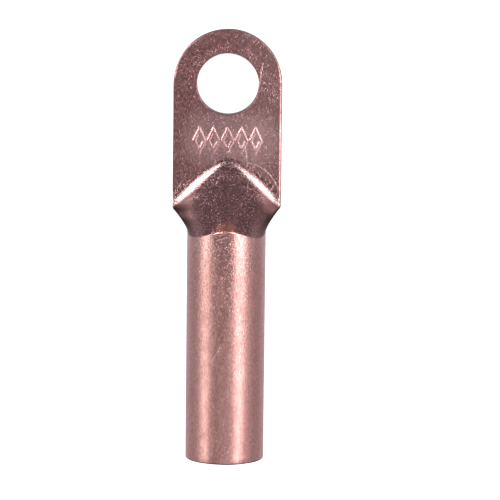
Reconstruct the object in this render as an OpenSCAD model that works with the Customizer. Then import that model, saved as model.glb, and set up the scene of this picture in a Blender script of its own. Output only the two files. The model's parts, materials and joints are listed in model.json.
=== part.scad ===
// Copper cable lug: a seamless copper tube that stays round where the
// conductor goes in, and is pressed flat, blanked and punched at the other
// end to bolt under a stud. It is one solid piece.
//
// Millimetres. The lug lies as it comes to rest, on its barrel with the palm
// level. +Y runs from the mouth to the tip of the palm, +Z is up, and the
// origin is at floor level under the middle of the lug.

/* [Barrel] */
// Outside diameter of the tube
barrel_d = 22; // [16:0.5:30]
// Wall thickness of the tube
wall = 2.5; // [1.5:0.1:3.5]
// Length of the round barrel, from the mouth to the middle of the crease
barrel_len = 65.5; // [45:0.5:90]
// Width of the small bevels that deburr the mouth, inside and outside
mouth_bevel = 0.4; // [0.2:0.1:1]

/* [Neck] */
// Length of the slope from the crease to the palm, along the middle
neck_len = 18.5; // [16:0.1:30]
// How far the crease swings towards the mouth on its way round the barrel
crease_dip = 2.1; // [0:0.1:4]
// Angle from the top of the barrel at which the crease is nearest the mouth
crease_angle = 57; // [45:1:75]
// Distance from the crease to the feet of the V line, where it meets the folds
foot_gap = 5.5; // [4:0.1:8]
// Radius of the rounded top of the V line, which bounds slope and palm
v_round = 4.5; // [1:0.1:6]
// How late the tube spreads along its slope lines: 1 is evenly, more is later
spread_power = 1.4; // [1.2:0.05:2]

/* [Palm] */
// Width between the blanked flanks, which is also twice the end radius
palm_w = 30.2; // [24:0.1:31]
// Distance from the top of the V line to the centre of the stud hole
hole_reach = 21.6; // [14:0.1:40]
// Diameter of the punched stud hole
stud_hole_d = 17; // [8:0.1:20]
// Outer radius of the folds that the pressing leaves along both flanks
fold_r = 1.5; // [0.5:0.1:2]
// How far the middle of the palm lies below the barrel's axis
palm_drop = 0.5; // [0:0.1:2]
// Distance from where the neck is as wide as the palm to the straight flanks
flank_gap = 0.7; // [0.5:0.1:3]
// Corner radius of the blanking cut where the flanks start
shoulder_r = 3; // [1:0.1:5]

/* [Hidden] */
$fn = 96;

neck_segs = 72;      // facets round the outside of the neck
neck_rings = 16;     // facets along it
cavity_segs = 36;    // the same for the hollow inside
cavity_rings = 8;
palm_steps = 18;     // steps from the palm's middle to its flank, along the V line
seam_gap = 0.2;      // height left open where the inner walls close
seam_start = 1.5;    // the walls have closed this far before the V line
lap = 0.5;           // overlap of solids that are joined
flush = 0.01;        // the neck starts this much inside the barrel's surface
sink = 0.05;         // and its slope lines end this much inside the palm
shoulder_share = 0.75; // share of the shoulder radius that the cut uses
fold_run = 0.15;     // how far the V line swings on where it rounds the folds

barrel_r = barrel_d / 2;
bore_r = barrel_r - wall;
palm_t = 2 * wall;             // two walls pressed together
half_t = palm_t / 2;
barrel_end = barrel_len - crease_dip - lap;
apex_y = barrel_len + neck_len;
foot_y = barrel_len + foot_gap;
hole_y = apex_y + hole_reach;
lug_len = hole_y + palm_w / 2;

function mix(a, b, t) = a + (b - a) * t;

// Where the crease crosses the line at this angle from the top of the barrel
function crease_y(angle) =
    barrel_len - crease_dip * pow(sin(angle * 90 / crease_angle), 2);

// Half-width of the tube pressed flat. Its skin keeps its length, so a quarter
// turn of the tube goes into each quarter of the flat section.
quarter_skin = PI * barrel_r / 2;
flat_half_w = quarter_skin - half_t + fold_r * (2 - PI / 2);

// The V line is a hyperbola, from its rounded top to its feet on the folds.
// It falls with the distance x across the palm, and with a small share of the
// distance s along its skin, which carries it on round the folds.
function v_fall(s, x) =
    sqrt(pow(mix(x, s, fold_run), 2) + v_round * v_round) - v_round;
v_slope = (apex_y - foot_y) / v_fall(quarter_skin, flat_half_w);
function v_line_y(s, x) = apex_y - v_slope * v_fall(s, x);

// Where the neck, on its way out to the folds, is as wide as the palm
palm_share = min(1, (palm_w / 2 - barrel_r) / (flat_half_w - barrel_r));
wide_y = mix(crease_y(90), foot_y, pow(palm_share, 1 / spread_power));
flank_y = wide_y + flank_gap;

// Length of the skin of a quarter of a flat section with half-width w,
// half-height h and corner radius r
function flat_skin(w, h, r) = w - r + r * PI / 2 + h - r;

// Point [x, z] on that quarter, at distance s from its middle along the skin
function flat_point(s, w, h, r) =
    let (top = w - r, arc = r * PI / 2)
    s <= top ? [s, h]
    : s <= top + arc
        ? let (turn = (s - top) / r * 180 / PI)
            [top + r * sin(turn), h - r + r * cos(turn)]
    : [w, h - r - (s - top - arc)];

// Point on a slope line. turn is the angle round the tube from its top, and
// t runs from 0 on the crease to 1 on the palm.
function neck_point(turn, t, tube_r, w, h, r, short) =
    let (
        half = turn % 180,
        angle = half <= 90 ? half : 180 - half,
        side = turn <= 180 ? 1 : -1,
        up = turn < 90 || turn > 270 ? 1 : -1,
        s = angle / 90 * flat_skin(w, h, r),
        flat = flat_point(s, w, h, r),
        spread = pow(t, spread_power)
    ) [
        side * mix(tube_r * sin(angle), flat[0], spread),
        mix(crease_y(angle), v_line_y(s, flat[0]) - short, t),
        up * mix(tube_r * cos(angle), flat[1], t) - palm_drop * t
    ];

// Closed loft: a plain round ring inside the barrel, the crease, the slope
// lines, and a cap that joins each top point of the last ring to the bottom
// point below it.
module neck_loft(tube_r, w, h, r, short, segs, rings) {
    last = rings + 1;
    start = [for (i = [0 : segs - 1]) let (turn = i * 360 / segs)
        [tube_r * sin(turn), barrel_end - lap, tube_r * cos(turn)]];
    slope = [for (k = [0 : rings], i = [0 : segs - 1])
        neck_point(i * 360 / segs, k / rings, tube_r, w, h, r, short)];
    sides = [for (k = [0 : last - 1], i = [0 : segs - 1])
        let (a = k * segs + i, b = k * segs + (i + 1) % segs)
        each [[a, b + segs, b], [a, a + segs, b + segs]]];
    mouth = [for (i = [0 : segs - 1]) i];
    first = last * segs;
    half = segs / 2;
    // top point j and bottom point half - j stand one above the other
    cap = [for (j = [-segs / 4 : segs / 4 - 1])
        let (
            t0 = first + (j + segs) % segs,
            t1 = first + (j + 1 + segs) % segs,
            b0 = first + half - j,
            b1 = first + half - j - 1
        )
        each [
            if (t0 != b0) [t0, b0, t1],
            if (t1 != b1) [t1, b0, b1]
        ]];
    polyhedron(points = concat(start, slope), faces = concat(sides, [mouth], cap));
}

// Turned outside of the barrel, bevelled at the mouth
module barrel() {
    rotate([-90, 0, 0]) rotate_extrude() polygon([
        [0, 0],
        [barrel_r - mouth_bevel, 0],
        [barrel_r, mouth_bevel],
        [barrel_r, barrel_end],
        [0, barrel_end]
    ]);
}

// Round bore with its bevel at the mouth
module bore() {
    rotate([-90, 0, 0]) {
        translate([0, 0, -lap]) cylinder(r = bore_r, h = barrel_end + lap);
        rotate_extrude() polygon([
            [0, -lap],
            [bore_r + mouth_bevel + lap, -lap],
            [bore_r, mouth_bevel],
            [0, mouth_bevel]
        ]);
    }
}

// Outside of the neck, from just inside the barrel to just inside the palm
module neck() {
    neck_loft(barrel_r - flush, flat_half_w - sink, half_t - sink,
        fold_r, 0, neck_segs, neck_rings);
}

// The hollow that is left between the walls inside the neck
module neck_cavity() {
    neck_loft(bore_r - flush, flat_half_w - wall, seam_gap / 2,
        seam_gap / 2, seam_start, cavity_segs, cavity_rings);
}

// Cross-section of the pressed tube: two walls with a round fold at each side
module folded_section() {
    square([2 * (flat_half_w - fold_r), palm_t], center = true);
    square([2 * flat_half_w, palm_t - 2 * fold_r], center = true);
    for (x = [-1, 1], y = [-1, 1])
        translate([x * (flat_half_w - fold_r), y * (half_t - fold_r)])
            circle(r = fold_r);
}

// The palm as the press leaves it, beyond the V line
module pressed_palm() {
    w = flat_half_w;
    skin = flat_skin(w, half_t, fold_r);
    start = [for (i = [-palm_steps : palm_steps])
        let (
            s = skin * abs(i) / palm_steps,
            x = flat_point(s, w, half_t, fold_r)[0]
        )
        [sign(i) * x, v_line_y(s, x) - lap]];
    intersection() {
        translate([0, lug_len, -palm_drop]) rotate([90, 0, 0])
            linear_extrude(height = lug_len - barrel_len) folded_section();
        translate([0, 0, -barrel_d]) linear_extrude(height = 2 * barrel_d)
            polygon(concat(start, [[w, lug_len], [-w, lug_len]]));
    }
}

// What the blanking tool leaves: straight flanks, a round end, and rounded
// shoulders where the cut runs out into the neck
module blank_outline() {
    inner_w = palm_w - 2 * shoulder_r;
    cut_y = flank_y - shoulder_share * shoulder_r;
    translate([0, hole_y]) circle(d = palm_w);
    translate([-palm_w / 2, flank_y]) square([palm_w, hole_y - flank_y]);
    translate([-inner_w / 2, cut_y]) square([inner_w, flank_y - cut_y]);
    for (x = [-1, 1])
        translate([x * inner_w / 2, flank_y]) circle(r = shoulder_r);
    translate([-barrel_d, -lap]) square([2 * barrel_d, cut_y + lap]);
}

module cable_lug() {
    color([0.72, 0.46, 0.39])
    translate([0, -lug_len / 2, barrel_r])
    difference() {
        union() {
            barrel();
            intersection() {
                union() {
                    neck();
                    pressed_palm();
                }
                translate([0, 0, -barrel_d])
                    linear_extrude(height = 2 * barrel_d) blank_outline();
            }
        }
        bore();
        neck_cavity();
        translate([0, hole_y, -palm_drop])
            cylinder(d = stud_hole_d, h = palm_t + 2 * lap, center = true);
    }
}

cable_lug();
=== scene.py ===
# %% [markdown]
# # A copper cable lug
#
# A cable lug joins a heavy cable to a stud. It is one length of copper tube.
# One end stays round and takes the cable. The other is pressed flat in a die,
# cut to outline and punched for the stud.
#
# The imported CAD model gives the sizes. Here the same form is built again as a
# dense, smooth skin with its fine edges, and then it gets its copper.

# %% Load the frame
import json
import math

import bmesh
import bpy
import numpy as np
from mathutils import Matrix, Quaternion, Vector


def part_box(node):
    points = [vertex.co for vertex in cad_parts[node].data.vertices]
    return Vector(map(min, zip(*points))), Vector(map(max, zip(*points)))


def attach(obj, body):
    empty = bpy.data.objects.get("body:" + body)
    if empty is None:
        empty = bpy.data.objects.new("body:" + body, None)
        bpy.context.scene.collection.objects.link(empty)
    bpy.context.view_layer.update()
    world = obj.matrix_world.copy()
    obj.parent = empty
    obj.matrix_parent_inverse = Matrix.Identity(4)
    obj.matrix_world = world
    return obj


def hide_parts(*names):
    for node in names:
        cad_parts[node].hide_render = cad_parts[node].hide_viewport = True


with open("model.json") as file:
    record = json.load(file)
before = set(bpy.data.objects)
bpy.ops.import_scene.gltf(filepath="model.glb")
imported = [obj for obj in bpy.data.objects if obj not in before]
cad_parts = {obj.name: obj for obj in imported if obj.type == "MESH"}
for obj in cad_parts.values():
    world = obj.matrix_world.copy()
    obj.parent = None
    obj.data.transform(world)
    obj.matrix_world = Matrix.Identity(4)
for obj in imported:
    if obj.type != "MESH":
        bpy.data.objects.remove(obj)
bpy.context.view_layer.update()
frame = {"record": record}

MM = 0.001
low, high = (np.array(corner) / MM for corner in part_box("cable_lug"))
print("the lug measures", np.round(high - low, 2), "mm")

# %% [markdown]
# ## Sizes
#
# What the frame knows is read from it: the box gives the tube's diameter, the
# palm's width and the overall length, and the record's mounts give the bore
# and the stud hole. Only the sizes that shape the neck are written here. All
# the work is in millimetres, and is turned into metres at the very end.

# %% Sizes from the frame
mounts = {mount["name"]: mount for mount in frame["record"]["mounts"]}
barrel_r = (high[2] - low[2]) / 2
palm_half_w = (high[0] - low[0]) / 2
bore_r = mounts["barrel_bore"]["dims"]["r_mm"]
bore_len = mounts["barrel_bore"]["dims"]["length_mm"]
hole_r = mounts["stud_hole"]["dims"]["r_mm"]
palm_t = mounts["stud_hole"]["dims"]["length_mm"]
hole_y = mounts["stud_hole"]["pos_m"][1] / MM - low[1]
palm_drop = barrel_r - mounts["stud_hole"]["pos_m"][2] / MM
half_t = palm_t / 2
print("tube", 2 * barrel_r, "bore", 2 * bore_r, "palm", palm_t, "drop", palm_drop)

# %% [markdown]
# ## Where the neck begins and ends
#
# On the real lug the round tube ends at a crease that waves round it, and the
# flat palm begins at a V-shaped line. Everything between them is the neck. One
# could copy its points from the CAD faces, but a dozen named sizes are easier
# to understand, and the skin below can then be as dense as light needs it.

# %% Sizes of the neck
barrel_len = 65.5                 # mouth to crease, along the top
neck_len = 18.5                   # crease to the top of the V line
crease_dip = 2.1                  # how far the crease swings to the mouth
crease_angle = math.radians(57)   # where round the tube it swings most
foot_gap = 7.2                    # crease to the feet of the V line
v_round = 2.0                     # radius at the top of the V line
spread_share = 0.8                # share of a slope line that spreads the tube
spread_power = 1.4                # how late on that share it spreads
fold_run = 0.15                   # how far the V line runs on round the fold
fold_r = 1.5                      # outer radius of the fold
flank_gap = 0.7                   # from a neck as wide as the palm to the flank
shoulder_r = 3.0                  # corner radius where the blanking cut starts
shoulder_share = 0.75             # share of that radius that the cut uses
seam_start = 1.5                  # the walls meet this far before the V line
mouth_bevel = 0.4                 # deburred edge of the mouth
apex_y = barrel_len + neck_len
foot_y = barrel_len + foot_gap
print("the V line runs from", apex_y, "down to", foot_y, "mm from the mouth")

# %% [markdown]
# ## Fine edges
#
# A CAD edge is perfectly sharp, and a real one never is. Light runs along the
# small radius of a crease or a fillet, so each gets its own size here: a tight
# one where the tube starts to fold, a wide one where the slope runs out on the
# palm, and small ones along every sheared edge.

# %% Edge sizes
crease_soft = 0.28           # half-length of the round at the crease
v_fillet_top = 1.0           # half-length of the fillet at the top of the V
v_fillet_leg = 2.5           # and out on its legs
v_fillet_grows = 8           # distance from the middle where it is full
rim_round = 0.22             # rolled edges of the round end and the hole
burr_round = 0.15            # the same on the underside
seam_groove = 0.07           # depth of the seam between the two walls
left_fold = (15.3, 0.3)      # half-width and corner radius on the left
right_fold = (15.13, 0.7)    # and on the right, where the die pressed less
print("the V line's fillet grows from", v_fillet_top, "to", v_fillet_leg, "mm")

# %% [markdown]
# ## The skin of the neck
#
# A press moves copper but hardly stretches it: the skin of the round tube has
# the same length round it as the skin of the flat palm. So every point at an
# angle round the barrel has its own landing point on the palm, found by
# walking the same share of the skin. A straight slope line joins the two.
#
# One could also sculpt the neck, or loft between a circle and a rectangle.
# Walking the skin gives the real bulges at both sides for free.

# %% How a flat section is walked
def ease(t):
    return t * t * (3 - 2 * t)


def mix(a, b, t):
    return a + (b - a) * t


def flat_skin(w, h, r):
    return w - r + r * math.pi / 2 + h - r


def flat_point(s, w, h, r):
    """Points x, z at distance s along a quarter of a flat section."""
    top, arc = w - r, r * math.pi / 2
    turn = np.clip((s - top) / r, 0, math.pi / 2)
    x = np.minimum(s, top) + r * np.sin(turn)
    z = h - r + r * np.cos(turn) - np.maximum(s - top - arc, 0)
    return x, z


quarter_skin = math.pi * barrel_r / 2
flat_half_w = quarter_skin - half_t + fold_r * (2 - math.pi / 2)
print("pressed flat, the tube is", round(2 * flat_half_w, 2), "mm wide")

# %% [markdown]
# ## Two lines bound the neck
#
# The V line on a real lug is straight on its legs and round at its top, which
# is just what a hyperbola is. Two straight lines and an arc would also do, but
# they would leave a jump in the curvature, and polished metal shows every jump.
# The crease is a sine wave round the tube. From both lines follows the place
# where the neck has become as wide as the palm, and so where the flanks start.

# %% The two lines between which the neck runs
def v_fall(s, x):
    return np.sqrt(mix(x, s, fold_run) ** 2 + v_round ** 2) - v_round


v_slope = (apex_y - foot_y) / v_fall(quarter_skin, flat_half_w)


def v_line_y(s, x):
    return apex_y - v_slope * v_fall(s, x)


def crease_y(angle):
    return barrel_len - crease_dip * np.sin(angle * math.pi / 2 / crease_angle) ** 2


palm_share = min(1, (palm_half_w - barrel_r) / (flat_half_w - barrel_r))
wide_share = spread_share * palm_share ** (1 / spread_power)
wide_y = mix(crease_y(math.pi / 2), foot_y, wide_share)
flank_y = wide_y + flank_gap
print("the flanks start", round(float(flank_y), 2), "mm from the mouth")

# %% [markdown]
# ## Soft corners
#
# Along one line of the skin, a crease is a corner between two straight runs.
# A bevel modifier could round it, but its width is hard to vary along an edge.
# Here an arc of any length is worked out on the line itself.
#
# The blanking cut needs a corner too. It leaves a rounded shoulder on the real
# lug, and then a straight flank.

# %% Rounded corners along a line
no_limit = 99.0


def ramp(d, soft):
    """0 before a corner and d after it, with an arc of half-length soft."""
    arc = (d + soft) ** 2 / (4 * soft)
    return np.where(d < -soft, 0, np.where(d > soft, d, arc))


def outline_half_w(y):
    """Half-width that the blanking cut leaves, and no limit before it."""
    into = np.clip(flank_y - y, 0, shoulder_r)
    half = palm_half_w - shoulder_r + np.sqrt(shoulder_r ** 2 - into ** 2)
    return np.where(flank_y - y > shoulder_share * shoulder_r, no_limit, half)


cut_back = float(ramp(0, crease_soft))
print("in the corner itself, the crease is cut back by", round(cut_back, 3), "mm")

# %% [markdown]
# ## A skin of quads
#
# The lug is drawn as patches of quads that share their borders: the tube with
# its neck, the edge that runs round the palm, the two palm faces and the wall
# of the hole. A small collector keeps the points, and hands out their numbers
# as a grid, so that a patch can be stitched to its neighbour by reusing a row.

# %% The collector
class Skin:
    def __init__(self):
        self.points = []
        self.quads = []
        self.zones = []
        self.count = 0

    def add(self, points):
        """Keeps points of any grid shape and returns their numbers."""
        points = np.asarray(points, float)
        numbers = np.arange(points[..., 0].size).reshape(points.shape[:-1]) + self.count
        self.points.append(points.reshape(-1, 3))
        self.count += numbers.size
        return numbers

    def stitch(self, grid, zone, closed=True):
        """Quads between the rows of a grid, and round it if it is closed."""
        after = np.roll(grid, -1, axis=1)
        quads = np.stack([grid[:-1], after[:-1], after[1:], grid[1:]], axis=-1)
        if not closed:
            quads = quads[:, :-1]
        quads = quads.reshape(-1, 4)
        self.quads.append(quads)
        self.zones.append(np.full(len(quads), zone))


skin = Skin()
BARREL, NECK, PALM, SHEARED, BORE = range(5)
print("the skin will have", BORE + 1, "zones, one for each finish")

# %% [markdown]
# ## The tube and its neck
#
# Each of the 240 lines runs along the barrel, turns at the crease, follows its
# slope and lands on the palm through the fillet. One could as well bend rings
# of the tube one by one, but lines follow the copper as the die moved it. Rows
# lie close together at the crease and in the fillet, where the form turns, and
# wide apart on the barrel.

# %% Lines round the tube
turns = 240
hair = 1e-9                                        # for the lines at the sides
turn = np.arange(turns) * 2 * math.pi / turns      # clockwise from the top
half_turn = turn % math.pi
angle = np.minimum(half_turn, math.pi - half_turn)  # from the top or the bottom
side = np.where(turn <= math.pi, 1.0, -1.0)
up = np.where(np.cos(turn) >= -hair, 1.0, -1.0)
print("one line for every", 360 / turns, "degrees round the tube")

# %% [markdown]
# ## Walking one line
#
# Every line starts on the crease and lands on the V line, at the same share of
# the skin. Between them its height falls straight, and its distance from the
# middle grows faster towards the end, as the press squeezes the tube outwards.
# The die sat a little askew, so the upper V line is a shade higher on the right.

# %% Where a line lands
lean_height, lean_reach = 0.4, 12


def v_lean(x):
    """How much further up the palm the upper V line lies, on the right."""
    lean = lean_height * np.sin(np.clip(x / lean_reach, -1, 1) * math.pi / 2)
    return np.where(up > 0, lean * np.sqrt(np.abs(np.cos(angle))), 0)


def landing(w, h, r):
    """Points on the V line where the lines come down on a flat section."""
    s = angle / (math.pi / 2) * flat_skin(w, h, r)
    x, z = flat_point(s, w, h, r)
    y = v_line_y(s, x) + v_lean(side * x)
    return side * x, y, up * z - palm_drop


print("the upper V line leans", lean_height, "mm at", lean_reach, "mm from the middle")

# %% Points along a line
def neck_rows(tube_r, land, ends, soft_start, soft_end):
    """Rows of points at the distances that ends gives for each line."""
    land_x, land_y, land_z = land
    start_y = crease_y(angle)
    run = land_y - start_y
    start_x, start_z = side * tube_r * np.sin(angle), up * tube_r * np.cos(angle)
    fall = (start_z - land_z) / run
    t = np.clip((ends - start_y) / run, 0, 1)
    x = mix(start_x, land_x, np.minimum(1, t / spread_share) ** spread_power)
    near = start_z - fall * ramp(ends - start_y, soft_start)
    far = land_z + fall * ramp(land_y - ends, soft_end)
    return np.stack([x, ends, np.where(t < 0.5, near, far)], axis=-1)


def between(first, last, steps, ended=False):
    """Rows from one end to the other, without the last unless it is ended."""
    share = np.linspace(0, 1, steps + 1)[: None if ended else -1, None]
    return mix(first, last, share)


print("five rows from 0 to 1 lie at", between(0.0, 1.0, 4, True).ravel())

# %% [markdown]
# ## The outside in one grid
#
# The barrel, the crease, the slope and the fillet are one grid of points, row
# after row from the mouth to the palm. Separate pieces joined afterwards would
# show a seam in the reflections. The last step cuts the grid off at the flanks,
# as the blanking tool does, by pushing what sticks out back to the cut.

# %% Rows from the mouth to the palm
barrel_steps, turn_steps, slope_steps, fillet_steps = 44, 6, 40, 10
fold_w, fold_round = (
    np.where(side > 0, right, left) for left, right in zip(left_fold, right_fold)
)
outer_land = landing(fold_w, half_t, fold_round)
v_fillet = mix(v_fillet_top, v_fillet_leg,
               ease(np.minimum(1, np.abs(outer_land[0]) / v_fillet_grows)))
crease = crease_y(angle)
v_line = outer_land[1]
mouth_row = np.full(turns, mouth_bevel)
barrel_rows = between(mouth_row, crease - crease_soft, barrel_steps)
turn_rows = between(crease - crease_soft, crease + crease_soft, turn_steps)
slope_rows = between(crease + crease_soft, v_line - v_fillet, slope_steps)
fillet_rows = between(v_line - v_fillet, v_line + v_fillet, fillet_steps, True)
ends = np.concatenate([barrel_rows, turn_rows, slope_rows, fillet_rows])
print("the outside has", len(ends), "rows, and the V line's rows reach y =",
      round(float(ends.max()), 2))

# %% Outside of the tube
outer = neck_rows(barrel_r, outer_land, ends, crease_soft, v_fillet)
limit = outline_half_w(outer[..., 1])
outer[..., 0] = np.clip(outer[..., 0], -limit, limit)
outer_grid = skin.add(outer)
bend_row = len(barrel_rows) + len(turn_rows) // 2
skin.stitch(outer_grid[: bend_row + 1], BARREL)
skin.stitch(outer_grid[bend_row:], NECK)
print("the outside of the tube has", outer_grid.shape, "points")

# %% [markdown]
# ## Mouth and bore
#
# The mouth is sawn square and deburred, so a small round edge leads to the face
# and another into the bore. Turned parts are easily made by spinning a profile.
# Here the profile is laid on the same 240 lines as the outside, so the rings
# meet the barrel's first row point by point.

# %% Profile of the mouth and the bore
corner_points, bore_points = 4, 20


def corner(centre_r, sign):
    """Radius and distance along a small round edge of the mouth."""
    a = np.linspace(0, math.pi / 2, corner_points)
    radius = centre_r + sign * mouth_bevel * np.cos(a)
    return np.stack([radius, mouth_bevel * (1 - np.sin(a))], axis=-1)


mouth = np.concatenate([
    corner(barrel_r - mouth_bevel, 1)[1:],
    corner(bore_r + mouth_bevel, -1)[::-1],
])
straight = np.linspace(mouth_bevel, mouth_bevel + bore_len, bore_points)[1:]
bore = np.stack([np.full(len(straight), bore_r), straight], axis=-1)
inside = np.concatenate([mouth, bore])
print("the profile has", len(inside), "points")

# %% Rings of the mouth and the bore
bore_ring = 5                     # the bore's finish starts inside its bevel
rings = np.stack([
    inside[:, :1] * np.sin(turn),
    np.repeat(inside[:, 1:], turns, axis=1),
    inside[:, :1] * np.cos(turn),
], axis=-1)
ring_grid = skin.add(rings)
skin.stitch(np.vstack([outer_grid[:1], ring_grid[: bore_ring + 1]]), SHEARED)
skin.stitch(ring_grid[bore_ring:], BORE)
print("the mouth and the bore have", ring_grid.size, "points")

# %% [markdown]
# ## Where the walls meet inside
#
# Behind the bore, a lug cut in half would show a long wedge that narrows until
# the walls touch. It could be left open, since nobody looks that far in, but an
# open mesh can't be weighed or printed. So the inner skin is walked like the
# outer one, one wall further in, and its last slit is stitched shut.

# %% The closed end
seam_half = 0.1                   # half of the slit that is left
wedge_steps, wedge_soft = 24, 0.8
seam_land = list(landing(flat_half_w - half_t, seam_half, seam_half))
seam_land[1] = seam_land[1] - seam_start
wedge = between(np.full(turns, straight[-1]), seam_land[1], wedge_steps, True)[1:]
wedge_grid = skin.add(neck_rows(bore_r, seam_land, wedge, wedge_soft, wedge_soft))
skin.stitch(np.vstack([ring_grid[-1:], wedge_grid]), BORE)
print("the closed end has", wedge_grid.size, "points")

# %% Stitch the slit shut
quarter, half = turns // 4, turns // 2
over = wedge_grid[-1][np.arange(-quarter, quarter + 1)]
under = wedge_grid[-1][half - np.arange(-quarter, quarter + 1)]
skin.stitch(np.stack([over, under])[:, 1:-1], BORE, closed=False)
for a, b in ((0, 1), (-1, -2)):
    skin.quads.append(np.array([[over[a], over[b], under[b], under[b]]]))
    skin.zones.append(np.array([BORE]))
print("the slit is shut by", len(over) - 3, "quads and two triangles")

# %% [markdown]
# ## The edge round the palm
#
# Along the flanks the edge is the fold of the tube, shaved flat by the blanking
# cut. Round the end both walls are cut through: the edge is square, rolled over
# a little on top, and a hairline seam shows where the two walls meet. A bevel
# would round a plain border, but it knows nothing of folds and seams. So the
# sections of the two folds are taken from the neck, and that of the cut edge is
# written down here.

# %% Sections that the neck leaves
fold_angle = 72                   # degrees from the top where the fold begins
fold_line = round(fold_angle / 360 * turns)
strip_steps = half - 2 * fold_line
right_ring = outer_grid[-1][fold_line : half - fold_line + 1]
left_ring = outer_grid[-1][turns - fold_line - np.arange(strip_steps + 1)]
points = np.vstack(skin.points)
right_section, left_section = points[right_ring], points[left_ring]
print("an edge section has", strip_steps + 1, "points")

# %% Section of a sheared edge
flat_points = 4                   # on the flat faces, above and below the cut
round_steps = 4                   # round each of its two corners
plain_z, seam_z = 1.2, 0.14       # where the cut is plain, and the seam's half


def sheared_edge(base, rollover, burr, groove):
    """Depth from the cut edge, and height, down a sheared edge with a seam."""
    def quarter_round(r):
        a = np.linspace(0, math.pi / 2, round_steps + 1)
        return r * (1 - np.sin(a)), half_t - r * (1 - np.cos(a))

    top_in, top_z = quarter_round(rollover)
    low_in, low_z = quarter_round(burr)
    depth = np.concatenate([
        np.linspace(base, rollover, flat_points + 1)[:-1],
        top_in, [0, 0, groove, 0, 0], low_in[::-1],
        np.linspace(burr, base, flat_points + 1)[1:],
    ])
    height = np.concatenate([
        np.full(flat_points, half_t), top_z,
        [plain_z, seam_z, 0, -seam_z, -plain_z],
        -low_z[::-1], np.full(flat_points, -half_t),
    ])
    count = np.linspace(0, len(depth) - 1, strip_steps + 1)
    at = np.arange(len(depth))
    return np.interp(count, at, depth), np.interp(count, at, height)


edge_base = 1.28                  # how far the strip reaches onto the faces
cut_in, cut_z = sheared_edge(edge_base, rim_round, burr_round, seam_groove)
print("the sheared section is", round(float(np.ptp(cut_z)), 2), "mm high")

# %% [markdown]
# ## One strip round the palm
#
# The strip starts with the section that the neck left on the right, runs up the
# flank, round the end and down the left flank. The section changes over the
# first and the last part of the turn, as on a real lug, where the folds run out
# into the cut. A curve with a bevel object could sweep one section, but it
# couldn't change it on the way.

# %% The two flanks
flank_steps = 96


def flank_rows(section, y):
    """A section of the fold carried along the flank, to each y."""
    x, z = (np.broadcast_to(section[:, axis], y.shape) for axis in (0, 2))
    return np.stack([x, y, z], axis=-1)


hole_row = np.full(strip_steps + 1, hole_y)
right_y = between(right_section[:, 1], hole_row, flank_steps)
right_flank = flank_rows(right_section, right_y)[1:]
left_y = between(hole_row, left_section[:, 1], flank_steps, True)
left_flank = flank_rows(left_section, left_y)[1:-1]
print("the flanks have", len(right_flank), "and", len(left_flank), "rows")

# %% The round end
end_steps = 120
morph = math.radians(24)          # the turn in which a fold becomes a cut edge
way = np.linspace(0, math.pi, end_steps + 1)[:, None]
from_right = 1 - ease(np.clip(way / morph, 0, 1))
from_left = 1 - ease(np.clip((math.pi - way) / morph, 0, 1))
cut = 1 - from_right - from_left
depth = (
    from_right * (palm_half_w - right_section[:, 0])
    + from_left * (palm_half_w + left_section[:, 0])
    + cut * cut_in
)
height = (
    from_right * right_section[:, 2]
    + from_left * left_section[:, 2]
    + cut * (cut_z - palm_drop)
)
round_end = np.stack([
    (palm_half_w - depth) * np.cos(way),
    hole_y + (palm_half_w - depth) * np.sin(way),
    height,
], axis=-1)
print("the round end has", len(round_end), "sections")

# %% Stitch the strip
face_columns = 5                  # columns that lie on the palm's faces
strip = skin.add(np.concatenate([right_flank, round_end, left_flank]))
strip_grid = np.vstack([right_ring[None], strip, left_ring[None]])
skin.stitch(strip_grid[: flank_steps + 1], PALM, closed=False)
end_grid = strip_grid[flank_steps : -flank_steps]
skin.stitch(end_grid[:, : face_columns + 1], PALM, closed=False)
skin.stitch(end_grid[:, face_columns : -face_columns], SHEARED, closed=False)
skin.stitch(end_grid[:, -face_columns - 1 :], PALM, closed=False)
skin.stitch(strip_grid[-flank_steps - 1 :], PALM, closed=False)
print("the edge strip has", strip_grid.shape, "points")

# %% [markdown]
# ## A row of raised marks
#
# The press often raises a row of marks on the palm, just beyond the V line.
# Here they are five plain lozenges. A bump map could paint them on, but it
# vanishes when one looks along the palm. So their height is worked out for
# every point of the upper face, which is why its rows lie a sixth of a
# millimetre apart.

# %% The raised row
mark_count, mark_pitch = 5, 3.9
mark_half_w, mark_half_h = 1.45, 3.0
mark_stroke = 0.75                # from the middle of a raised line to its foot
mark_rise = 0.11
row_y = apex_y + 5.9


def relief(x, y):
    """Height of a row of plain outlined lozenges, pressed up from the palm."""
    last = mark_count // 2
    slot = np.clip(np.round(x / mark_pitch), -last, last)
    across = np.abs(x - slot * mark_pitch) / mark_half_w
    across = across + np.abs(y - row_y) / mark_half_h
    scale = mark_half_w * mark_half_h / math.hypot(mark_half_w, mark_half_h)
    away = np.clip(np.abs(across - 1) * scale / mark_stroke, 0, 1)
    return mark_rise * np.cos(away * math.pi / 2) ** 2


print("the row is", (mark_count - 1) * mark_pitch + 2 * mark_half_w, "mm long")

# %% [markdown]
# ## A wheel of spokes for each face
#
# Each palm face is flat, with a hole in it. Blender could fill it with one
# many-sided face, but that shades badly and can't carry the raised row. A wheel
# is a clean grid: each border point sends a spoke to the rim of the hole. The
# border points are the ones that are there already, so faces and edges share
# their corners, and light runs over them without a break.

# %% Wheels of spokes
fine_share = 0.9                  # where the border is near, fine rows start here


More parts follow.
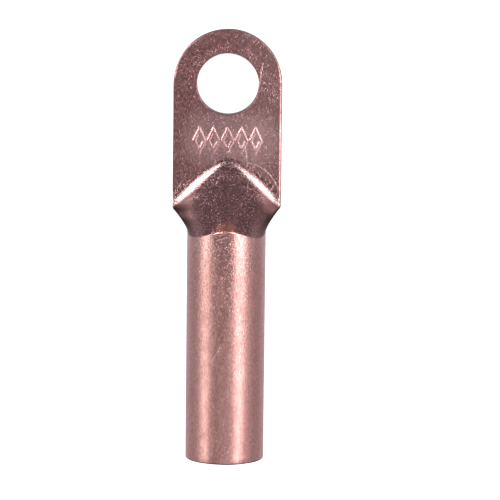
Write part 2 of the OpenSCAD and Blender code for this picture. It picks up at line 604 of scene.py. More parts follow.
def palm_face(border, rim_r, fine_r, fine_steps, coarse_steps, height):
    """Grid of spokes from the border points to the rim of the hole."""
    edge = np.vstack(skin.points)[border]
    out = edge[:, :2] - [0, hole_y]
    reach = np.hypot(out[:, 0], out[:, 1])
    fine = np.minimum(fine_r, mix(rim_r, reach, fine_share))
    rows = np.concatenate([
        between(reach, fine, coarse_steps)[1:],
        between(fine, np.full(len(reach), rim_r), fine_steps, True),
    ])
    x = rows * out[:, 0] / reach
    y = hole_y + rows * out[:, 1] / reach
    grid = skin.add(np.stack([x, y, height(x, y)], axis=-1))
    skin.stitch(np.vstack([border[None], grid]), PALM)
    return grid[-1]


fine_reach = 21                   # from the hole's centre past the raised row
v_ring = outer_grid[-1]
print("fine rows reach", fine_reach, "mm from the centre of the hole")

# %% Upper and lower face
upper_border = np.concatenate([
    v_ring[np.arange(-fold_line, fold_line)], strip_grid[:-1, 0]
])
lower_border = np.concatenate([
    v_ring[half + fold_line : half - fold_line : -1], strip_grid[:-1, -1]
])
top_z, low_z = half_t - palm_drop, -half_t - palm_drop
top_rim = palm_face(
    upper_border, hole_r + rim_round, fine_reach, fine_steps=76, coarse_steps=12,
    height=lambda x, y: top_z + relief(x, y))
low_rim = palm_face(
    lower_border, hole_r + burr_round, fine_reach, fine_steps=12, coarse_steps=8,
    height=lambda x, y: np.full(x.shape, low_z))
print("each palm face has", len(upper_border), "spokes")

# %% [markdown]
# ## The punched wall
#
# A punch drags the upper edge down and leaves a small burr below, and the seam
# between the two walls shows all round the hole. The wall has the section of
# the sheared end, bent inwards. A boolean cylinder would give it no edge at
# all. The spokes of the two faces don't end at quite the same angles, so the
# wall turns the small difference on its way down.

# %% Section and turn of the wall
rim_depth, rim_z = sheared_edge(rim_round, rim_round, burr_round, seam_groove)
keep = slice(flat_points, len(rim_depth) - flat_points)
points = np.vstack(skin.points)
top_way = np.arctan2(points[top_rim, 1] - hole_y, points[top_rim, 0])
low_way = np.arctan2(points[low_rim, 1] - hole_y, points[low_rim, 0])
turned = (low_way - top_way + math.pi) % (2 * math.pi) - math.pi
most_turned = math.degrees(np.abs(turned).max())
print("the rims differ by up to", round(most_turned, 3), "degrees")

# %% Wall of the hole
share = np.linspace(0, 1, len(rim_depth[keep]))[:, None]
way = top_way + share * turned
wall_r = hole_r + rim_depth[keep][:, None]
wall_z = np.broadcast_to((rim_z[keep] - palm_drop)[:, None], way.shape)
wall = np.stack([wall_r * np.cos(way), hole_y + wall_r * np.sin(way), wall_z], axis=-1)
wall_grid = skin.add(wall[1:-1])
skin.stitch(np.vstack([top_rim[None], wall_grid, low_rim[None]]), SHEARED)
print("the wall of the hole has", wall_grid.shape, "points between its rims")

# %% [markdown]
# ## From points to a mesh
#
# The grids become one mesh, smooth all over, because every edge that should
# look crisp has its own narrow round. Each face keeps the number of its zone as
# its material. Blender can merge points that lie close together, but here no
# two of them do, because the patches share theirs. Two checks show it: there
# has to be no open edge, and the volume has to be near that of the solid.

# %% Build the lug
def build_mesh(name):
    points = np.vstack(skin.points) + [0, low[1], low[2] + barrel_r]
    faces = [tuple(dict.fromkeys(quad)) for quad in np.vstack(skin.quads).tolist()]
    mesh = bpy.data.meshes.new(name)
    mesh.from_pydata((points * MM).tolist(), [], faces)
    mesh.polygons.foreach_set("material_index", np.concatenate(skin.zones))
    mesh.polygons.foreach_set("use_smooth", np.ones(len(faces), bool))
    mesh.update()
    return mesh


mesh = build_mesh("lug")
lug = bpy.data.objects.new("lug", mesh)
bpy.context.scene.collection.objects.link(lug)
print("the lug has", len(mesh.vertices), "points and", len(mesh.polygons), "faces")

# %% Turn the faces outwards and check the shell
shell = bmesh.new()
shell.from_mesh(mesh)
bmesh.ops.recalc_face_normals(shell, faces=shell.faces)
open_edges = sum(not edge.is_manifold for edge in shell.edges)
triangles = sum(len(face.verts) - 2 for face in shell.faces)
print("open edges", open_edges, "triangles", triangles, "volume mm3",
      round(shell.calc_volume() / MM ** 3))
shell.to_mesh(mesh)
shell.free()

# %% [markdown]
# ## A slow swell
#
# Drawn and pressed copper is never quite flat or round. A swell of a few
# hundredths of a millimetre, too small to measure, is what keeps the long
# reflections from looking ruled. A displacement modifier with a noise texture
# would do it too. Three sine waves, worked out from each point's own place,
# are the same in every run. The points move along their normals, and only
# inwards, so the lug stays inside its box.

# %% Waves over the skin
swell_height = 0.025


def swell(p):
    """A slow wave over the skin, in parts of one, from each point's place."""
    x, y, z = p[:, 0], p[:, 1], p[:, 2]
    return (
        np.sin(0.31 * y + 0.45 * x + 0.9)
        + np.sin(0.17 * y - 0.62 * x + 0.5 * z + 2.1)
        + np.sin(0.73 * y + 0.27 * x - 0.41 * z + 4.0) * 0.5
    ) / 2.5


print("the swell moves the skin by up to", 2 * swell_height, "mm")

# %% Move the points
places = np.empty(len(mesh.vertices) * 3)
mesh.vertices.foreach_get("co", places)
places = places.reshape(-1, 3) / MM
normals = np.empty(len(mesh.vertices) * 3)
mesh.vertices.foreach_get("normal", normals)
sunk = swell_height * (swell(places) - 1)
places += normals.reshape(-1, 3) * sunk[:, None]
mesh.vertices.foreach_set("co", (places * MM).ravel())
mesh.update()
print("points moved inwards by", np.round([-sunk.max(), -sunk.min()], 3), "mm")

# %% [markdown]
# ## Its place in the frame
#
# The real lug is one loose piece without a joint, so it rides the root. The
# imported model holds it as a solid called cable_lug, and the skin takes that
# solid's place. A scene could also show both, but two copies of one surface
# would flicker where they touch.

# %% Hand the lug to the frame
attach(lug, "root")
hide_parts("cable_lug")
print("the skin stands for the solid cable_lug")

# %% [markdown]
# ## Copper, and what happens to it
#
# Copper is bare metal here, so its colour is the colour of what it reflects,
# and all the interest lies in how the surface was treated. The drawn tube has
# fine lines along its length. The press left a coarse grain on the slope and
# short flecks on the palm. The cut edges are torn and dull, and handling added
# tarnish and scratches.
#
# Node trees are easier to read as short sums than as long lists of nodes and
# links. So four helpers come first. Each makes one node, and takes numbers and
# the outputs of other nodes alike.

# %% Nodes from plain calls
def node(tree, kind, inputs=None, **settings):
    """A node whose sockets take a value or a link."""
    made = tree.nodes.new("ShaderNode" + kind)
    for name, value in settings.items():
        setattr(made, name, value)
    for socket, value in (inputs or {}).items():
        if isinstance(value, bpy.types.NodeSocket):
            tree.links.new(value, made.inputs[socket])
        else:
            made.inputs[socket].default_value = value
    return made


def calc(tree, operation, *values):
    made = node(tree, "Math", dict(enumerate(values)), operation=operation)
    return made.outputs[0]


def vector(tree, operation, *values):
    made = node(tree, "VectorMath", dict(enumerate(values)), operation=operation)
    return made.outputs["Value" if operation in ("LENGTH", "DOT_PRODUCT") else 0]


def fade(tree, value, start, end, low=0.0, high=1.0):
    """From low to high while the value goes from start to end."""
    return node(tree, "MapRange", {
        "Value": value, "From Min": start, "From Max": end,
        "To Min": low, "To Max": high,
    }, interpolation_type="SMOOTHSTEP").outputs[0]


print("helpers: node, calc, vector and fade")

# %% [markdown]
# ## Effects that are built once
#
# Grain, scratches and worn edges come back in every finish, finer or coarser.
# Copying their nodes into each material would work, but then each copy has to
# be mended alone. A node group is built once, and its named inputs are set
# anew wherever it is placed. Image textures could do the same, but nodes stay
# sharp at any distance.

# %% Node groups
def new_group(name, inputs, outputs):
    tree = bpy.data.node_groups.new(name, "ShaderNodeTree")
    for label, value in inputs.items():
        kind = "NodeSocketFloat" if isinstance(value, float) else "NodeSocketVector"
        socket = tree.interface.new_socket(label, in_out="INPUT", socket_type=kind)
        socket.default_value = value
    for label in outputs:
        tree.interface.new_socket(label, in_out="OUTPUT", socket_type="NodeSocketFloat")
    inside = tree.nodes.new("NodeGroupInput").outputs
    outside = tree.nodes.new("NodeGroupOutput").inputs
    return tree, inside, outside


def use(tree, group, inputs, output):
    made = tree.nodes.new("ShaderNodeGroup")
    made.node_tree = group
    for socket, value in inputs.items():
        made.inputs[socket].default_value = value
    return made.outputs[output]


def show(tree):
    print("the group", tree.name, "has", len(tree.nodes), "nodes")


print("helpers: new_group, use and show")

# %% [markdown]
# ## Where a point lies
#
# Marks on the real lug sit at places that one can measure from its mouth. UV
# maps would bend round the neck, so the effects use the object's own position,
# in millimetres from the mouth. They stay on the metal when it moves.

# %% Places in millimetres
def place(tree):
    """Where a point lies, in millimetres, with the mouth of the tube at y = 0."""
    held = node(tree, "TexCoord").outputs["Object"]
    return vector(tree, "MULTIPLY_ADD", held, (1000, 1000, 1000), (0, -low[1], 0))


def parts(tree, point):
    """The outputs X, Y and Z of a point."""
    return node(tree, "SeparateXYZ", {"Vector": point}).outputs


print("the mouth lies", round(float(-low[1]), 2), "mm behind the origin")

# %% [markdown]
# ## Grain
#
# Drawing leaves long lines, pressing leaves short flecks, and heat leaves
# patches. Each could have its own texture. But all of them are noise with
# cells of another length and width, so one group serves them all: Cell is the
# size of a grain, Seed picks another part of the noise, and Start and End say
# how strong a grain has to be before it shows in the mask.

# %% Grain
grain_detail, grain_rough = 5.0, 0.68
grain, inside, outside = new_group(
    "grain", {"Cell": (0.3, 3.0, 0.3), "Seed": 0.0, "Start": 0.4, "End": 0.6},
    ("Value", "Mask"))
cells = vector(grain, "DIVIDE", place(grain), inside["Cell"])
moved = node(grain, "CombineXYZ", {"X": inside["Seed"], "Z": inside["Seed"]})
noise = node(grain, "TexNoise", {
    "Vector": vector(grain, "ADD", cells, moved.outputs[0]),
    "Scale": 1.0, "Detail": grain_detail, "Roughness": grain_rough,
}).outputs[0]
grain_mask = fade(grain, noise, inside["Start"], inside["End"])
grain.links.new(noise, outside["Value"])
grain.links.new(grain_mask, outside["Mask"])
show(grain)

# %% [markdown]
# ## Scratches
#
# A slipping tool leaves an arc, and a burr on another part leaves a line. A
# painted mask would need an image. Both are drawn from distances instead: how
# far a point lies from the stroke, and whether it lies within the stroke's
# ends. The Floor input keeps a stroke off the underside.

# %% A stroke from a distance
stroke_core = 0.3                 # share of the width that is fully scratched
upper_side = 11.0                 # strokes lie above the axis of the tube


def stroke(tree, point, off, inside):
    """1 along a stroke and 0 beside it, and 0 all over the underside."""
    share = calc(tree, "DIVIDE", off, inside["Width"])
    drawn = fade(tree, share, stroke_core, 1.0, 1.0, 0.0)
    above = calc(tree, "GREATER_THAN", parts(tree, point)["Z"], inside["Floor"])
    return calc(tree, "MULTIPLY", drawn, above)


print("strokes lie more than", upper_side, "mm above the floor")

# %% Scratch along an arc
arc_scratch, inside, outside = new_group("arc_scratch", {
    "Centre": (0.0, 0.0, 0.0), "Aim": (0.0, 1.0, 0.0),
    "Radius": 5.0, "Width": 0.15, "Spread": 40.0, "Floor": upper_side,
}, ("Mask",))
point = place(arc_scratch)
flat = vector(arc_scratch, "MULTIPLY", point, (1, 1, 0))
away = vector(arc_scratch, "SUBTRACT", flat, inside["Centre"])
reach = vector(arc_scratch, "LENGTH", away)
off = calc(arc_scratch, "SUBTRACT", reach, inside["Radius"])
off = calc(arc_scratch, "ABSOLUTE", off)
aimed = vector(arc_scratch, "DOT_PRODUCT", away, inside["Aim"])
cosine = calc(arc_scratch, "DIVIDE", aimed, reach)
spread = calc(arc_scratch, "RADIANS", inside["Spread"])
spread = calc(arc_scratch, "COSINE", spread)
within = fade(arc_scratch, calc(arc_scratch, "SUBTRACT", cosine, spread), 0.0, 0.05)
mask = calc(arc_scratch, "MULTIPLY", stroke(arc_scratch, point, off, inside), within)
arc_scratch.links.new(mask, outside["Mask"])
show(arc_scratch)

# %% Scratch along a line
line_scratch, inside, outside = new_group("line_scratch", {
    "From": (0.0, 0.0, 0.0), "To": (1.0, 1.0, 0.0), "Width": 0.15,
    "Floor": upper_side,
}, ("Mask",))
point = place(line_scratch)
flat = vector(line_scratch, "MULTIPLY", point, (1, 1, 0))
run = vector(line_scratch, "SUBTRACT", inside["To"], inside["From"])
away = vector(line_scratch, "SUBTRACT", flat, inside["From"])
along = calc(line_scratch, "DIVIDE",
             vector(line_scratch, "DOT_PRODUCT", away, run),
             vector(line_scratch, "DOT_PRODUCT", run, run))
along = node(line_scratch, "Clamp", {"Value": along}).outputs[0]
nearest = vector(line_scratch, "SCALE", run)
line_scratch.links.new(along, nearest.node.inputs["Scale"])
off = vector(line_scratch, "SUBTRACT", away, nearest)
off = vector(line_scratch, "LENGTH", off)
mask = stroke(line_scratch, point, off, inside)
line_scratch.links.new(mask, outside["Mask"])
show(line_scratch)

# %% [markdown]
# ## Where the die bears hardest
#
# The press works the copper most along the V line, and its flecks crowd there.
# The line could be drawn as three scratches. But the hyperbola that shaped the
# skin already gives every point its distance before or behind the line, so the
# finish follows the form when a size changes.

# %% Distance behind the V line
v_distance, inside, outside = new_group("v_distance", {
    "Apex": float(apex_y), "Slope": float(v_slope), "Round": v_round,
}, ("Distance",))
axes = parts(v_distance, place(v_distance))
squares = calc(v_distance, "ADD",
               calc(v_distance, "MULTIPLY", axes["X"], axes["X"]),
               calc(v_distance, "MULTIPLY", inside["Round"], inside["Round"]))
fall = calc(v_distance, "SQRT", squares)
fall = calc(v_distance, "SUBTRACT", fall, inside["Round"])
fall = calc(v_distance, "MULTIPLY", fall, inside["Slope"])
line = calc(v_distance, "SUBTRACT", inside["Apex"], fall)
distance = calc(v_distance, "SUBTRACT", axes["Y"], line)
v_distance.links.new(distance, outside["Distance"])
show(v_distance)

# %% [markdown]
# ## Worn edges
#
# Handling polishes a convex edge first. A bevel shader would find such edges
# too, but it slows the render down. Pointiness is stored with the mesh: it is
# over one half where the skin bends outwards.

# %% Worn edges
worn_edge, inside, outside = new_group(
    "worn_edge", {"Start": 0.52, "End": 0.6}, ("Mask",))
bend = node(worn_edge, "NewGeometry").outputs["Pointiness"]
mask = fade(worn_edge, bend, inside["Start"], inside["End"])
worn_edge.links.new(mask, outside["Mask"])
show(worn_edge)

# %% [markdown]
# ## Five finishes of one metal
#
# The five finishes are all copper and differ in tarnish, gloss and relief. A
# mask is used more than once, as the real mark would be: it shifts the colour,
# it changes the roughness, and it moves the surface by a few microns. One big
# material with masks for its zones would mix them softly. Five small ones are
# easier to read, and the zones meet at edges anyway.

# %% Mixing colours and masks
COLOR_A, COLOR_B, COLOR_OUT = 6, 7, 2     # sockets of a colour mix
BRIGHT = (0.95, 0.66, 0.64)               # fresh metal, where marks cut in


def blend(tree, mask, first, second):
    """Colour that goes from first to second with a mask."""
    made = node(tree, "Mix", {"Factor": mask}, data_type="RGBA")
    for socket, value in ((COLOR_A, first), (COLOR_B, second)):
        if isinstance(value, bpy.types.NodeSocket):
            tree.links.new(value, made.inputs[socket])
        else:
            made.inputs[socket].default_value = (*value, 1)
    return made.outputs[COLOR_OUT]


def joined(tree, operation, values):
    """Values joined one after the other by an operation."""
    result = values[0]
    for value in values[1:]:
        result = calc(tree, operation, result, value)
    return result


def times(tree, *values):
    return joined(tree, "MULTIPLY", values)


def most(tree, *values):
    return joined(tree, "MAXIMUM", values)


def weighed(tree, *pairs, base=None):
    """Sum of masks, each with its weight before it, and of a base value."""
    terms = [times(tree, mask, weight) for weight, mask in pairs]
    return joined(tree, "ADD", terms if base is None else [*terms, base])


def clamped(tree, value):
    return node(tree, "Clamp", {"Value": value}).outputs[0]


print("helpers: blend, times, most, weighed and clamped")

# %% Short calls for the effects
def grained(tree, cell, seed):
    """The grain itself, around one half."""
    return use(tree, grain, {"Cell": cell, "Seed": seed}, "Value")


def patches(tree, cell, seed, start, end):
    """A mask of single grains."""
    values = {"Cell": cell, "Seed": seed, "Start": start, "End": end}
    return use(tree, grain, values, "Mask")


def line_mark(tree, start, end, width):
    values = {"From": (*start, 0), "To": (*end, 0), "Width": width}
    return use(tree, line_scratch, values, "Mask")


def arc_mark(tree, centre, radius, aim, spread, width):
    values = {"Centre": (*centre, 0), "Radius": radius, "Aim": (*aim, 0),
              "Spread": spread, "Width": width}
    return use(tree, arc_scratch, values, "Mask")


print("helpers: grained, patches, line_mark and arc_mark")

# %% Start and end of a finish
def new_copper(name):
    material = bpy.data.materials.new(name)
    material.use_nodes = True
    shader = material.node_tree.nodes["Principled BSDF"]
    shader.inputs["Metallic"].default_value = 1
    return material, material.node_tree, shader


def finish(material, tree, shader, color, roughness, height, microns):
    """Plugs a colour, a roughness and a relief into the shader."""
    bump = node(tree, "Bump", {"Height": height, "Strength": 1.0})
    bump.inputs["Distance"].default_value = microns * 1e-6
    tree.links.new(color, shader.inputs["Base Color"])
    tree.links.new(roughness, shader.inputs["Roughness"])
    tree.links.new(bump.outputs[0], shader.inputs["Normal"])
    mesh.materials.append(material)
    print(material.name, "has", len(tree.nodes), "nodes and", microns, "um of relief")


print("helpers: new_copper and finish")

# %% [markdown]
# ## The drawn barrel
#
# The tube was drawn through a die, which left fine lines along it. Then it was
# softened by heat, which left a mottled film with small bright pits, and two
# short scratches came later. An anisotropic shader could blur the reflections
# along the lines, but it shows no single line. Long cells of grain do.

# %% Marks on the barrel
material, tree, shader = new_copper("copper_drawn")
lines = grained(tree, cell=(0.35, 7.0, 0.35), seed=1.7)
grit = grained(tree, cell=(0.36, 0.8, 0.36), seed=2.9)
mottle = patches(tree, cell=(1.8, 4.5, 1.8), seed=4.1, start=0.38, end=0.66)
specks = patches(tree, cell=(0.32, 0.6, 0.32), seed=8.2, start=0.56, end=0.65)
pits = times(tree, specks, weighed(tree, (0.6, mottle), base=0.4))
strokes = most(
    tree,
    line_mark(tree, (-0.9, 34.2), (-3.7, 29.2), width=0.22),
    line_mark(tree, (-5.9, 24.9), (-4.4, 24.0), width=0.2),
)
print("the barrel's marks take", len(tree.nodes), "nodes")

# %% Colour and relief of the barrel
drawn_clean, drawn_dull = (0.85, 0.43, 0.395), (0.60, 0.285, 0.26)
drawn_fresh = (0.98, 0.62, 0.60)          # rubbed by the die, near the crease
along = parts(tree, place(tree))["Y"]
fresh = fade(tree, along, 52.0, 63.0)
dull = weighed(tree, (0.3, mottle), (6.5, grit), base=-3.1)
color = blend(tree, clamped(tree, dull), drawn_clean, drawn_dull)
color = blend(tree, times(tree, most(tree, pits, strokes), 0.8), color, BRIGHT)
color = blend(tree, times(tree, fresh, 0.2), color, drawn_fresh)
smooth = fade(tree, along, 50.0, 5.0, 0.18, 0.24)
rough = weighed(tree, (0.06, mottle), (0.12, lines), (-0.07, fresh), base=smooth)
coarse = fade(tree, along, 5.0, 45.0, 1.0, 2.1)
height = weighed(tree, (0.5, lines), (coarse, grit), (0.7, pits), (-0.6, strokes))
finish(material, tree, shader, color, rough, height, microns=30)

# %% [markdown]
# ## The pressed neck
#
# The slope was not rubbed by the die, so its grain opened up like the peel of
# an orange, and it is speckled. The specks crowd towards the V line, where the
# metal was pressed hardest and polished, and a thin bright band runs along it;
# its lighter colour is a painted highlight. The feet of the slope beside the
# palm get painted shade, so does the slope just below the top of the V, and a
# red patch at the foot of the slope is a painted reflection. A sculpted surface
# could carry the same relief, but it would need millions of faces.

# %% Marks on the neck
material, tree, shader = new_copper("copper_neck")
behind = use(tree, v_distance, {}, "Distance")
aside = calc(tree, "ABSOLUTE", parts(tree, place(tree))["X"])
worked = fade(tree, behind, -6.0, -1.0)
# Painted shade: the feet of the slope beside the V line get a near black colour.
lee_shade = times(tree, fade(tree, behind, -0.9, -2.6), fade(tree, aside, 6.0, 12.0))
# Painted shade: the slope just below the top of the V is darkened.
crown_shade = times(tree, fade(tree, behind, -3.0, -0.8), fade(tree, aside, 5.0, 1.5))
# Along the V line the die polished the metal, and a lighter colour paints its
# highlight.
pressed = times(
    tree,
    fade(tree, behind, -2.4, -0.6, 0.0, 0.5),
    fade(tree, behind, 0.9, -0.1),
    fade(tree, lee_shade, 0.0, 0.7, 1.0, 0.0),
)
lines = grained(tree, cell=(0.4, 5.0, 0.4), seed=1.7)
grit = grained(tree, cell=(0.38, 0.42, 0.38), seed=2.9)
specks = patches(tree, cell=(0.42, 0.5, 0.42), seed=5.5, start=0.55, end=0.64)
specks = times(
    tree, specks, weighed(tree, (0.85, worked), base=0.15),
    fade(tree, lee_shade, 0.0, 0.6, 1.0, 0.1))
# Painted reflection: a soft red patch on the slope just above the crease.
painted_red_reflection = line_mark(tree, (-0.7, 66.0), (0.5, 66.2), width=3.6)
painted_red_reflection = calc(tree, "POWER", painted_red_reflection, 1.7)
print("the neck's marks take", len(tree.nodes), "nodes")

# %% Colour and relief of the neck
neck_clean, neck_dull = (1.0, 0.52, 0.51), (0.50, 0.255, 0.25)
neck_painted_shade = (0.11, 0.056, 0.055)         # painted shade at the feet of the slope, beside the palm
neck_painted_reflection = (1.0, 0.40, 0.32)             # painted reflection, deep red at the foot of the slope
neck_polish_and_highlight = (1.0, 0.74, 0.72)           # polished along the V line, and painted lighter as a highlight
neck_crown_shade = (0.22, 0.12, 0.12)           # painted shade at the top of the V
dull = weighed(tree, (10.0, grit), base=-4.5)
color = blend(tree, clamped(tree, dull), neck_clean, neck_dull)
color = blend(tree, lee_shade, color, neck_painted_shade)
color = blend(tree, times(tree, painted_red_reflection, 0.85), color, neck_painted_reflection)
color = blend(tree, times(tree, specks, 0.7), color, BRIGHT)
color = blend(tree, pressed, color, neck_polish_and_highlight)
color = blend(tree, times(tree, crown_shade, 0.45), color, neck_crown_shade)
rough = weighed(tree, (-0.04, worked), (0.08, specks), (0.06, lines),
                (0.16, lee_shade), (0.10, painted_red_reflection), base=0.14)
coarse = weighed(tree, (1.0, worked), base=1.2)
height = weighed(tree, (0.15, lines), (2.5, specks), (coarse, grit))
finish(material, tree, shader, color, rough, height, microns=22)

# %% [markdown]
# ## The pressed palm
#
# The flat die ironed the palm smooth, so it shines most, with short flecks that
# gather at both sides beyond the hole. Screws and washers scratched it, in
# arcs and in lines. A painted sheen lightens it beyond the V line and towards
# the right, and painted shade darkens a ring at the rim of the hole and a line
# along the top of the left flank. Each mark is a mask of its own, because one
# noise for all of them would look like dirt.

# %% Flecks, film and painted sheen on the palm
material, tree, shader = new_copper("copper_palm")
axes = parts(tree, place(tree))
grit = grained(tree, cell=(0.42, 0.75, 0.42), seed=6.4)
mottle = patches(tree, cell=(4.0, 6.0, 4.0), seed=7.7, start=0.35, end=0.65)
flecks = patches(tree, cell=(0.3, 0.8, 0.3), seed=3.3, start=0.56, end=0.72)
crowd = patches(tree, cell=(0.28, 0.7, 0.28), seed=12.4, start=0.55, end=0.70)
gathered = most(
    tree,
    line_mark(tree, (-8.5, 110.0), (-1.5, 114.5), width=4.6),
    line_mark(tree, (5.0, 113.0), (11.5, 103.5), width=4.6),
)
flecks = most(tree, times(tree, flecks, 0.8), times(tree, crowd, gathered))
# Painted sheen: a lighter patch beyond the V line, and the palm lighter towards its
# right side.
sheen_halo = line_mark(tree, (-5.0, 90.5), (7.0, 90.5), width=11.0)
painted_light_right = fade(tree, axes["X"], -2.0, 13.0, 0.0, 0.25)
painted_sheen = weighed(tree, (0.6, sheen_halo), base=painted_light_right)
print("flecks and film take", len(tree.nodes), "nodes")

# %% Scratches and painted shade at the edges of the palm
strokes = most(
    tree,
    arc_mark(tree, (3.95, 73.3), 10.7, aim=(0.676, 0.737), spread=37.0, width=0.2),
    arc_mark(tree, (-17.6, 78.9), 4.8, aim=(0.9, -0.438), spread=24.0, width=0.2),
    line_mark(tree, (4.9, 88.3), (5.6, 83.0), width=0.16),
    line_mark(tree, (8.6, 105.0), (9.6, 111.5), width=0.16),
)
worn = use(tree, worn_edge, {}, "Mask")
hole_centre = (0, float(hole_y), 0)
away = vector(tree, "MULTIPLY", place(tree), (1, 1, 0))
away = vector(tree, "SUBTRACT", away, hole_centre)
away = vector(tree, "LENGTH", away)
# Painted shade: a dark ring at the rim of the hole, and a dark line along the top of
# the left flank.
rim_shade = fade(tree, away, 8.85, 8.65)
left_flank_shade = times(
    tree,
    fade(tree, axes["X"], 2.0, -6.0),
    fade(tree, axes["X"], -14.7, -14.95),
    fade(tree, axes["Z"], 12.3, 12.7),
)
shade = most(tree, rim_shade, left_flank_shade)
print("with its scratches, the palm takes", len(tree.nodes), "nodes")

# %% Colour and relief of the palm
palm_clean, palm_dull = (0.95, 0.47, 0.455), (0.50, 0.225, 0.22)
palm_painted_sheen = (1.0, 0.60, 0.59)              # painted sheen beyond the V line and on the right side
palm_shade = (0.10, 0.05, 0.05)           # painted shade at the rim of the hole and along the left flank
dull = weighed(tree, (0.4, mottle), (7.0, grit), base=-3.1)
cut_in_marks = most(tree, times(tree, strokes, 0.85), times(tree, worn, 0.1))
color = blend(tree, clamped(tree, dull), palm_clean, palm_dull)
color = blend(tree, painted_sheen, color, palm_painted_sheen)
color = blend(tree, shade, color, palm_shade)
color = blend(tree, times(tree, flecks, 0.6), color, BRIGHT)
color = blend(tree, cut_in_marks, color, BRIGHT)
rough = weighed(tree, (0.08, flecks), (0.05, mottle), (0.07, painted_sheen), base=0.2)
height = weighed(tree, (2.5, grit), (0.6, flecks), (1.0, strokes))
finish(material, tree, shader, color, rough, height, microns=22)

# %% [markdown]
# ## Sheared edges
#
# A shear cuts the first part of the wall and tears the rest, so these edges
# are rough and dark, and a dark line runs round the sawn mouth. The tears could
# be modelled, but they are finer than the smallest face here. So they are
# grain, with cells as wide as they are long.

# %% Sheared edges
sheared_clean, sheared_torn = (0.55, 0.265, 0.255), (0.38, 0.18, 0.175)
sheared_rim = (0.16, 0.08, 0.08)
material, tree, shader = new_copper("copper_sheared")
tears = patches(tree, cell=(0.5, 0.5, 0.25), seed=9.1, start=0.45, end=0.65)
worn = use(tree, worn_edge, {}, "Mask")
along = parts(tree, place(tree))["Y"]
rim = times(tree, fade(tree, along, 0.02, 0.12), fade(tree, along, 0.5, 0.42))
color = blend(tree, tears, sheared_clean, sheared_torn)
color = blend(tree, times(tree, worn, 0.05), color, BRIGHT)
color = blend(tree, times(tree, rim, 0.8), color, sheared_rim)
rough = weighed(tree, (0.15, tears), base=0.28)
finish(material, tree, shader, color, rough, tears, microns=15)

# %% [markdown]
# ## The bore
#
# The inside keeps the lines of the mandrel and the brown film of the heat,
# because nothing ever rubs it. It could share the barrel's finish, but then it
# would be too bright in the shadow of the mouth.

# %% The bore
bore_tan, bore_brown = (0.72, 0.33, 0.29), (0.58, 0.27, 0.26)
material, tree, shader = new_copper("copper_bore")
lines = grained(tree, cell=(0.4, 8.0, 0.4), seed=5.0)
mottle = patches(tree, cell=(3.0, 5.0, 3.0), seed=1.1, start=0.35, end=0.65)
color = blend(tree, times(tree, mottle, 0.6), bore_tan, bore_brown)
rough = weighed(tree, (0.2, lines), base=0.32)
finish(material, tree, shader, color, rough, lines, microns=20)

# %% [markdown]
# ## Floor
#
# The lug lies on plain white. A sheet that only reflects would turn grey under
# soft light, and more light would burn the copper out. So the floor glows a
# little itself. The copper doesn't see it, because a bright floor below would
# light the undersides of the bulges, which are dark on a real lug.

# %% Floor
floor_size, floor_white, floor_glow = 8, (0.9, 0.9, 0.9, 1), 0.85
bpy.ops.mesh.primitive_plane_add(size=floor_size)
floor = bpy.context.object
floor.name = "floor"
white = bpy.data.materials.new("floor_white")
white.use_nodes = True
shader = white.node_tree.nodes["Principled BSDF"]
shader.inputs["Base Color"].default_value = floor_white
shader.inputs["Roughness"].default_value = 0.9
shader.inputs["Emission Color"].default_value = (1, 1, 1, 1)
shader.inputs["Emission Strength"].default_value = floor_glow
floor.data.materials.append(white)
floor.visible_glossy = False
print("the floor is", floor_size, "m wide")

# %% [markdown]
# ## Sky
#
# Metal shows what is round it, so the sky is painted for the reflections. An
# even grey would make the lug look like clay. This one is dim overhead and
# lighter at the horizon, and towards the tip of the palm it is dark, so the
# slope that faces that way is dark too.

# %% Sky
sky_levels = ((0.0, 0.62), (0.216, 0.36), (0.5, 0.40), (0.85, 0.18), (1.0, 0.16))
sky_tint = (0.97, 1.0, 1.06)
sky_ahead = (0.13, 0.13, 0.135)
world = bpy.data.worlds.new("studio")
bpy.context.scene.world = world
world.use_nodes = True
tree = world.node_tree
axes = parts(tree, node(tree, "TexCoord").outputs["Generated"])
shade = node(tree, "ValToRGB", {"Fac": fade(tree, axes["Z"], -1.0, 1.0)})
ahead = fade(tree, axes["Y"], 0.15, 0.42)
sky = blend(tree, ahead, shade.outputs[0], sky_ahead)
tree.links.new(sky, tree.nodes["Background"].inputs["Color"])
stops = shade.color_ramp.elements
while len(stops) < len(sky_levels):
    stops.new(0.5)
for stop, (at, level) in zip(stops, sky_levels):
    stop.position = at
    stop.color = (*(level * tint for tint in sky_tint), 1)
print("the sky has", len(stops), "levels from below to overhead")

# %% [markdown]
# ## Lights
#
# A round tube turns every lamp into a band along its length. Two long softboxes
# draw the bright bands at the left and the right of the barrel, and a weak one
# beside the right one softens its edge. A fourth stands beyond the mouth and
# lifts the palm. Two small, strong strips towards the tip catch the legs of the
# V line. Point lamps would be simpler, but they leave hard spots on metal.
#
# A softbox is given by its angles from straight up and by its radiance, so it
# keeps its brightness in the reflection when its size changes.

# %% A softbox
middle = Vector((0, 0, 0.011))            # of the barrel


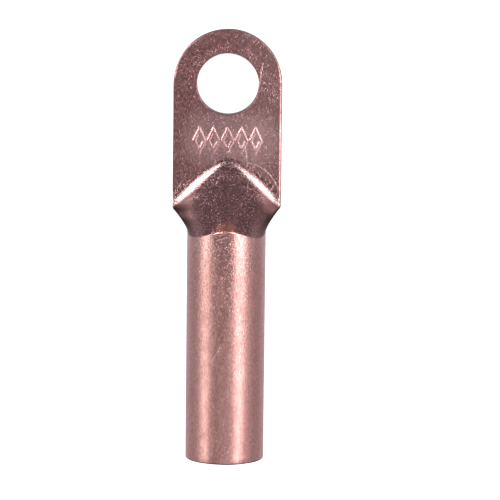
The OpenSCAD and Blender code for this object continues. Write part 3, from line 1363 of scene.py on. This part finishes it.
def softbox(name, across, along, distance, size, radiance, color=(1, 1, 1)):
    """A soft light. across and along are its angles from straight up."""
    a, b = math.radians(across), math.radians(along)
    toward = Vector((
        math.sin(a) * math.cos(b), math.sin(b), math.cos(a) * math.cos(b)))
    light = bpy.data.lights.new(name, "AREA")
    light.shape = "RECTANGLE"
    light.size, light.size_y = size
    light.color = color
    light.energy = radiance * math.pi * size[0] * size[1]
    lamp = bpy.data.objects.new(name, light)
    lamp.location = toward * distance + middle
    lamp.rotation_euler = toward.to_track_quat("Z", "Y").to_euler()
    bpy.context.scene.collection.objects.link(lamp)
    lamp.visible_camera = False
    print(name, "shines with", round(light.energy, 3), "W")


print("lights aim at a point", round(middle.z / MM, 1), "mm above the floor")

# %% Place the lights
softbox("left_softbox", across=-62, along=-9, distance=0.7,
        size=(0.50, 0.24), radiance=2.2, color=(0.92, 1, 0.95))
softbox("right_softbox", across=42, along=-9, distance=0.7,
        size=(0.44, 0.24), radiance=3.5)
softbox("right_fill", across=68, along=-9, distance=0.7,
        size=(0.30, 0.24), radiance=0.45)
softbox("near_softbox", across=0, along=-32, distance=0.8,
        size=(0.5, 0.54), radiance=0.45)
softbox("left_strip", across=-30, along=16, distance=0.7,
        size=(0.22, 0.18), radiance=11.0)
softbox("right_strip", across=30, along=16, distance=0.7,
        size=(0.22, 0.17), radiance=7.8)

# %% [markdown]
# ## Camera
#
# The camera looks down on the lug through a long lens, a little from beyond the
# tip. Tracking it to an empty would be quicker, but its small roll would be
# lost. So its three axes are written down: to the right, up the view, and back
# from the lug.

# %% Camera
look = Vector((6.62, 59.09 + low[1], 11.0)) * MM
tilt = math.radians(8.314)                # off straight down
roll = math.radians(0.651)
distance = 0.8695
camera = bpy.data.objects.new("camera", bpy.data.cameras.new("camera"))
bpy.context.scene.collection.objects.link(camera)
bpy.context.scene.camera = camera
back = Vector((0, math.sin(tilt), math.cos(tilt)))
right = Vector((1, 0, 0))
axes = Matrix((right, back.cross(right), back)).transposed()
camera.location = look + back * distance
camera.rotation_mode = "QUATERNION"
camera.rotation_quaternion = axes.to_quaternion() @ Quaternion((0, 0, 1), roll)
camera.data.sensor_width = 36
camera.data.lens = 224.136
camera.data.clip_start, camera.data.clip_end = 0.05, 20
bpy.context.scene.view_settings.view_transform = "Standard"
print("the camera is", distance, "m away and has a", round(camera.data.lens), "mm lens")
